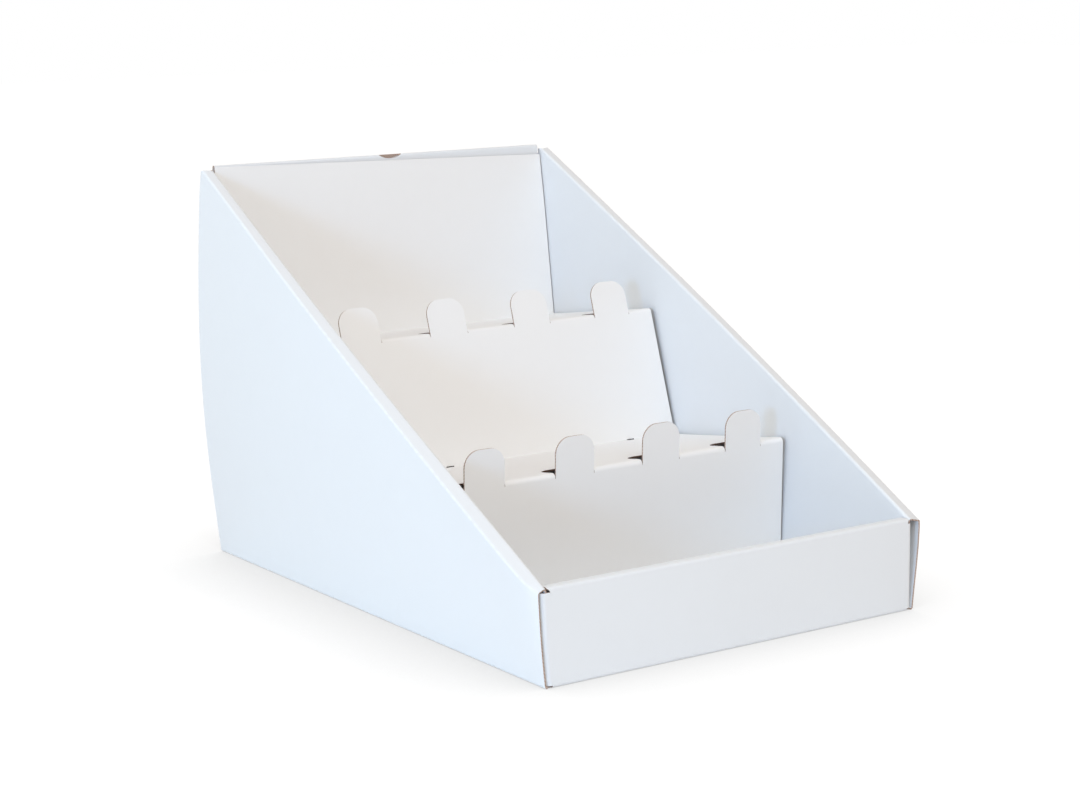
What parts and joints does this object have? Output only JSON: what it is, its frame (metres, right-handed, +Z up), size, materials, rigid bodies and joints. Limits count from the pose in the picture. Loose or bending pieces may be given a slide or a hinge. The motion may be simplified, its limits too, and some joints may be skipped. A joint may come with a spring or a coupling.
{
  "type": "tissue display box",
  "caption": "Open-fronted counter display box of folded white board, with sloping double side walls, a low front lip and a stepped insert whose tabs hold back rows of small packs.",
  "frame": {"origin": "on the surface that the box stands on, below the middle of its bounding box", "axes": "+Z up; -Y out of the open front, over the low lip; +X to the right for someone who faces the open front from inside the box's rear, that is to the right in a view along +Y"},
  "size_m": [0.2683, 0.3684, 0.2438],
  "materials": {
    "tray_board": "white paper lining on micro-flute board, satin matt, with brown raw edges",
    "insert_board": "white paper lining on micro-flute board, satin matt, with brown raw edges"
  },
  "bodies": {
    "root": {"folded_tray": "tray_board", "stepped_insert": "insert_board"}
  },
  "joints": []
}
